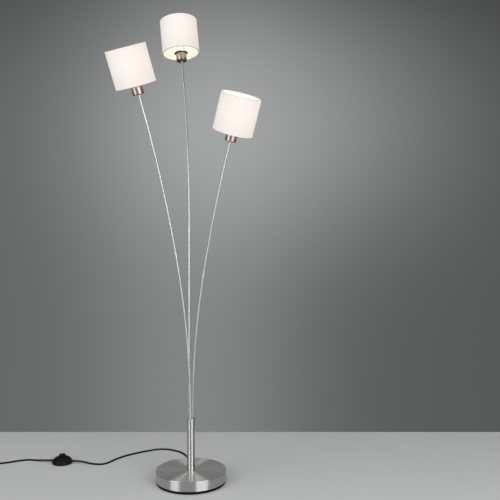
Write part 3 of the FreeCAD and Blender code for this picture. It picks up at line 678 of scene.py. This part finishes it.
def nipple_mesh():
    """The collar that clamps the upper rod under the cup, with one groove."""
    radius, groove = 4.6, 0.3
    line = [(ROD_HOLE, -NIPPLE_HEIGHT), (radius - 0.5, -NIPPLE_HEIGHT), (radius, 0.5 - NIPPLE_HEIGHT),
            (radius, -1.4), (radius - groove, -1.2), (radius - groove, -0.9), (radius, -0.7),
            (radius, 0), (ROD_HOLE, 0)]
    return lathe("nipple", line, 40, closed=True)


def cup_mesh():
    """The cup round the lampholder's foot, with a rounded foot and lip."""
    sheet, corner = 1.0, 2.5
    middle, inside = CUP_RADIUS - corner, CUP_RADIUS - sheet
    line = [(CUP_HOLE, 0.0), (middle - 0.6, 0.0)] + arc_points(middle, corner, corner, -90, 0, 8)
    line += [(CUP_RADIUS, CUP_HEIGHT - 0.7), (CUP_RADIUS - 0.2, CUP_HEIGHT - 0.1),
             (CUP_RADIUS - 0.6, CUP_HEIGHT), (inside + 0.1, CUP_HEIGHT - 0.2),
             (inside, CUP_HEIGHT - 0.6), (inside, corner + 0.1)]
    line += arc_points(middle, corner, corner - sheet, 0, -90, 5)[1:] + [(CUP_HOLE, sheet)]
    return lathe("cup", line, 96, closed=True)


def holder_mesh():
    """The lampholder: it stands on the cup's floor and has a thread for the ring nut."""
    foot, radius, core, socket, wire_room = 1.0, 13.6, 12.9, 7.4, 10.0
    pitch, depth = 2.2, 0.8
    thread_foot, thread_top = FRAME_TOP, HOLDER_TOP - 0.6
    body = lathe("holder", [
        (CUP_HOLE, foot), (radius - 2.5, foot), (radius, foot + 2.5), (radius, thread_foot + 0.1),
        (core, thread_foot + 0.1), (core, HOLDER_TOP - 0.8), (core - 0.5, HOLDER_TOP),
        (socket + 0.6, HOLDER_TOP), (socket, HOLDER_TOP - 0.6), (socket, SOCKET_FLOOR),
        (0, SOCKET_FLOOR), (0, wire_room), (CUP_HOLE, wire_room)], 72, closed=True)
    thread = screw_surface("holder thread", radius - 0.05, depth, pitch, thread_foot, thread_top, 72)
    return join_meshes("holder", [body, thread])


def nut_mesh():
    """The fluted ring that clamps the shade's frame on the lampholder."""
    segments, flutes, flute_depth, flute_gap = 240, 24, 0.9, 0.35
    radius, foot, top = 19.0, FRAME_TOP, FRAME_TOP + 6.0
    plain, fluted = 0.0, flute_depth
    rows = [(RING_BORE, foot, plain), (radius - 0.8, foot, plain), (radius, foot + 0.7, fluted),
            (radius, top - 0.7, fluted), (radius - 0.7, top, plain), (RING_BORE + 0.55, top, plain),
            (RING_BORE, top - 0.5, plain)]
    vertices = []
    for r, z, depth in rows:
        for turn in turns(segments):
            dip = max(0.0, math.cos(flutes * turn) - flute_gap) * depth
            vertices.append(round_point(r - dip, turn, z))
    return smooth(new_mesh("nut", vertices, ring_faces(len(rows), segments, closed=True)), 40)


def bar_mesh():
    """One flat arm of the shade's frame along X, with softened edges."""
    inner_end, outer_end, width, edge = 22.0, 59.8, 4.0, 0.3
    half, low, high = width / 2, CUP_HEIGHT, FRAME_TOP
    section = [(-half + edge, low), (half - edge, low), (half, low + edge), (half, high - edge),
               (half - edge, high), (-half + edge, high), (-half, high - edge), (-half, low + edge)]
    vertices = [(x * MM, y * MM, z * MM) for x in (inner_end, outer_end) for y, z in section]
    n = len(section)
    faces = [(i, (i + 1) % n, n + (i + 1) % n, n + i) for i in range(n)]
    faces += [tuple(reversed(range(n))), tuple(range(n, 2 * n))]
    return smooth(new_mesh("bar", vertices, faces))


def frame_mesh():
    """Three bars at the angles that they have in the solid."""
    first = 30
    places = [Matrix.Rotation(math.radians(first - HEAD_TURN + 120 * i), 4, "Z") for i in range(3)]
    return repeat_mesh("frame", bar_mesh(), places)


def disc_mesh():
    """The ring of the shade's frame, between cup and ring nut; dress gives it a dark finish that is
    painted shade.
    """
    radius, edge = 22.5, 0.3
    line = [(RING_BORE, CUP_HEIGHT), (radius - 0.4, CUP_HEIGHT), (radius, CUP_HEIGHT + edge),
            (radius, FRAME_TOP - edge), (radius - 0.4, FRAME_TOP), (RING_BORE, FRAME_TOP)]
    return lathe("disc", line, 96, closed=True)


def shade_mesh():
    """The drum: fabric on a lining, rolled round a wire at both edges, with a seam at the back."""
    # the numbers of its finishes, in the order in which dress gives them
    outer, lining, rolled = 0, 1, 2
    foot, top = SHADE_FOOT, SHADE_FOOT + SHADE_HEIGHT
    sheet, roll, fold, hem, hem_thick = 1.0, 1.45, 1.1, 5.5, 0.35
    wall_steps, wall_end = 20, 3.6
    # the drum is thinner between its hems, and each hem steps out over 0.75 mm
    out, hem_edge, hem_inner = SHADE_RADIUS - hem_thick, 0.5, 0.25
    low_roll = arc_points(SHADE_RADIUS - fold, foot + fold, fold, 0, -90, 4)[1:]
    low_roll += arc_points(WIRE_CIRCLE, foot + roll, roll, -90, -225, 9)
    high_roll = arc_points(WIRE_CIRCLE, top - roll, roll, 225, 90, 9)
    high_roll += arc_points(SHADE_RADIUS - fold, top - fold, fold, 90, 0, 4)[:-1]

    points = [(out, foot + hem + hem_inner), (SHADE_RADIUS - 0.05, foot + hem),
              (SHADE_RADIUS, foot + hem - hem_edge), (SHADE_RADIUS, foot + 1.2)] + low_roll
    kinds = [outer] * 3 + [rolled] * (len(low_roll) - 2) + [lining] * 3
    low, high = foot + wall_end, top - wall_end
    for i in range(wall_steps + 1):
        points.append((SHADE_RADIUS - sheet, low + (high - low) * i / wall_steps))
        kinds.append(lining)
    points += high_roll
    kinds += [lining] * 2 + [rolled] * (len(high_roll) - 2)
    low, high = foot + hem + hem_inner, top - hem - hem_inner
    points += [(SHADE_RADIUS, top - 1.2), (SHADE_RADIUS, top - hem + hem_edge),
               (SHADE_RADIUS - 0.05, top - hem), (out, high)]
    kinds += [outer] * 4
    for i in range(1, wall_steps):
        points.append((out, high - (high - low) * i / wall_steps))
        kinds.append(outer)
    # the outline runs down, in, up and out; the mesh wants it the other way round
    points.reverse()
    kinds = kinds[:-1][::-1] + [kinds[-1]]
    mesh = lathe("shade", points, 180, closed=True, kinds=kinds)

    seam, seam_half, seam_edge, seam_thick = math.radians(-86), 0.09, 0.012, 0.35
    for v in mesh.vertices:
        reach = math.hypot(v.co.x, v.co.y)
        off = abs((math.atan2(v.co.y, v.co.x) - seam + math.pi) % (2 * math.pi) - math.pi)
        if reach > (out - 0.1) * MM and off < seam_half:
            lift = seam_thick * MM * min(1.0, (seam_half - off) / seam_edge)
            v.co.x *= 1 + lift / reach
            v.co.y *= 1 + lift / reach
    return mesh


def globe_mesh():
    """The bulb's glass ball and its short neck."""
    centre, ball, neck, foot = 81.5, 22.5, 12.4, 61.0
    touch = -math.degrees(math.acos(neck / ball))
    line = [(0, foot), (11.6, foot), (11.9, foot + 0.6)]
    return lathe("globe", line + arc_points(0, centre, ball, touch, 90, 40), 96)


def skirt_mesh():
    """The plastic that widens from the bulb's cap to its glass."""
    foot, top = 47.0, 62.6
    line = [(0, foot), (6.6, foot), (6.9, 48.0), (6.9, 51.2), (7.6, 51.8), (8.4, 53.4), (9.6, 56.4),
            (11.2, 59.4), (12.2, 61.2), (12.45, 62.2), (12.2, 62.7), (11.5, top), (0, top)]
    return lathe("skirt", line, 72)


def cap_mesh():
    """The bulb's screw cap, with its contact on the socket's floor."""
    core, top, pitch, depth = 6.2, 49.5, 2.8, 0.75
    line = [(0, SOCKET_FLOOR), (3.6, SOCKET_FLOOR), (4.1, SOCKET_FLOOR + 0.6), (4.4, 28.0),
            (core - 0.2, 28.3), (core, 28.6), (core, top), (0, top)]
    thread = screw_surface("cap thread", core + 0.7, depth, pitch, 28.4, top)
    return join_meshes("cap", [lathe("cap", line, 48), thread])


shared = {
    "coupler": coupler_mesh(), "nipple": nipple_mesh(), "cup": cup_mesh(),
    "lampholder": holder_mesh(), "ring_nut": nut_mesh(), "frame": frame_mesh(),
    "disc": disc_mesh(), "shade": shade_mesh(), "globe": globe_mesh(),
    "bulb_skirt": skirt_mesh(), "bulb_cap": cap_mesh(),
}


def dress(arm):
    """All the dressed pieces of one arm."""
    joint, head = arm_places(ARMS[arm])
    body = arm + "_arm"

    def one(kind, slot, material, place, *replaced):
        piece = keep(f"{arm}_{kind}_dressed", shared[kind].copy(), body, material, place)
        if replaced:
            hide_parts(*[f"{arm}_{name}" for name in replaced])

    one("coupler", "satin_nickel", satin_nickel, joint, "coupler")
    one("nipple", "satin_nickel", satin_nickel, head, "nipple")
    one("cup", "brushed_nickel", cup_nickel, head, "cup")
    one("lampholder", "white_plastic", lit_plastic, head, "lampholder")
    one("ring_nut", "white_plastic", lit_plastic, head, "ring_nut")
    one("frame", "white_wire", lit_wire, head, "fitter")
    # the ring is white wire; its dark finish is painted shade
    one("disc", "white_wire", painted_shade_disc, head)
    quarter = Matrix.Rotation(math.radians(90 * SEAM_QUARTERS[arm]), 4, "Z")
    drum = [shade_outer, shade_inner, shade_rim]
    one("shade", "white_fabric", drum, head @ quarter, "shade", "top_ring")
    one("globe", "opal_glass", opal, head, "bulb")
    one("bulb_skirt", "opal_glass", lit_plastic, head)
    one("bulb_cap", "opal_glass", zinc, head)


for arm in ARMS:
    dress(arm)


# ---- studio -----------------------------------------------------------------------
FLOOR_HALF = 9
WALL_HALF, WALL_HEIGHT, WALL_X, WALL_Y = 5, 4, 0.2359, 0.5269
# the world's tone: what lights the lamp, and what the camera and mirroring surfaces see
ROOM_LIGHT, ROOM_SEEN = (0.45, 0.455, 0.46, 1), (0.07, 0.07, 0.07, 1)


def plane(name, corners, material, place=None):
    mesh = new_mesh(name, corners, [tuple(range(len(corners)))])
    piece = bpy.data.objects.new(name, mesh)
    scene.collection.objects.link(piece)
    if place is not None:
        piece.matrix_world = place
    mesh.materials.append(material)


def floor_finish():
    m = material_nodes("pale floor")
    at = m.place()
    clouds = m.noise(at, 1.3, 3.0)
    grain = m.noise(at, 240.0, 2.0)
    return m.surface({
        "Base Color": m.mix(m.spread(clouds, 0.0, 1.0), grey(0.56), grey(0.60)),
        "Roughness": m.spread(grain, 0.55, 0.65), "Specular IOR Level": 0.25,
    })


def wall_finish():
    """A grey backdrop with painted light on it: a pale upright band and a soft round glow behind the
    heads.

    It is only seen from the front. Its X runs to the camera's right and its Z up."""
    band_middle, band_reach, band_level = -0.215, 0.439, 0.1093
    ground_level, ground_slope, least_level = 0.119, -0.018, 0.05
    dark_from, dark_reach, dark_share = 1.708, 0.476, 0.42
    glow_x, glow_half_width, glow_z, glow_half_height = 0.027, 0.709, 1.258, 0.49
    glow_power, glow_level = 1.089, 0.1864
    tint = (0.990, 1.0, 1.005)
    m = material_nodes("grey backdrop")
    x, _, z = m.parts(m.place())
    band = m.times(m.bell(m.square(x, band_middle, band_reach)), band_level)
    band = m.plus(band, m.plus(ground_level, m.times(x, ground_slope)))
    # painted shade: the band and the ground darken towards the top
    above = m.math("DIVIDE", m.math("SUBTRACT", z, dark_from), dark_reach)
    top = m.math("MINIMUM", m.math("EXPONENT", above), 1.0)
    band = m.times(band, m.math("SUBTRACT", 1.0, m.times(top, dark_share)))
    away = m.plus(m.square(x, glow_x, glow_half_width), m.square(z, glow_z, glow_half_height))
    glow = m.times(m.bell(m.math("POWER", away, glow_power)), glow_level)
    level = m.math("MAXIMUM", m.plus(band, glow), least_level)
    tone = m.add("ShaderNodeVectorMath", {0: tint, 1: level}, operation="MULTIPLY").outputs[0]
    painted = m.add("ShaderNodeEmission", {"Color": tone}).outputs[0]
    plain = m.add("ShaderNodeBsdfDiffuse", {"Color": grey(0.22)}).outputs[0]
    front = m.add("ShaderNodeMixShader", {0: m.seen(), 1: plain, 2: painted}).outputs[0]
    back = m.add("ShaderNodeBsdfTransparent").outputs[0]
    side = m.add("ShaderNodeNewGeometry").outputs["Backfacing"]
    return m.finish(m.add("ShaderNodeMixShader", {0: side, 1: front, 2: back}).outputs[0])


def softbox(name, at, target, width, height, watts):
    light = bpy.data.lights.new(name, "AREA")
    light.shape = "RECTANGLE"
    light.size, light.size_y, light.energy = width, height, watts
    lamp = bpy.data.objects.new(name, light)
    scene.collection.objects.link(lamp)
    lamp.location = at
    lamp.rotation_euler = (Vector(target) - Vector(at)).to_track_quat("-Z", "Y").to_euler()


plane("floor", [(-FLOOR_HALF, -FLOOR_HALF, 0), (FLOOR_HALF, -FLOOR_HALF, 0),
                (FLOOR_HALF, FLOOR_HALF, 0), (-FLOOR_HALF, FLOOR_HALF, 0)], floor_finish())
wall_turn = Matrix.Rotation(math.radians(CAMERA_TURN), 4, "Z")
wall_place = Matrix.Translation((WALL_X, WALL_Y, 0)) @ wall_turn
plane("backdrop", [(-WALL_HALF, 0, 0), (WALL_HALF, 0, 0), (WALL_HALF, 0, WALL_HEIGHT),
                   (-WALL_HALF, 0, WALL_HEIGHT)], wall_finish(), wall_place)

softbox("softbox left", at=(-1.80, -1.35, 1.40), target=(0, 0, 1.00), width=1.2, height=2.7, watts=29.0)
softbox("softbox right", at=(1.30, -1.85, 1.10), target=(0, 0, 0.80), width=1.6, height=2.1, watts=33.5)
softbox("softbox above", at=(0.2, -0.5, 4.3), target=(0, 0, 0), width=3.2, height=3.2, watts=25.0)

scene.world = bpy.data.worlds.new("studio")
room = Nodes(scene.world)
room_tone = room.mix(room.seen(), ROOM_LIGHT, ROOM_SEEN)
room_light = room.add("ShaderNodeBackground", {"Color": room_tone}).outputs[0]
room.finish(room_light, "ShaderNodeOutputWorld")

scene.view_settings.view_transform = "Standard"

bpy.context.view_layer.update()
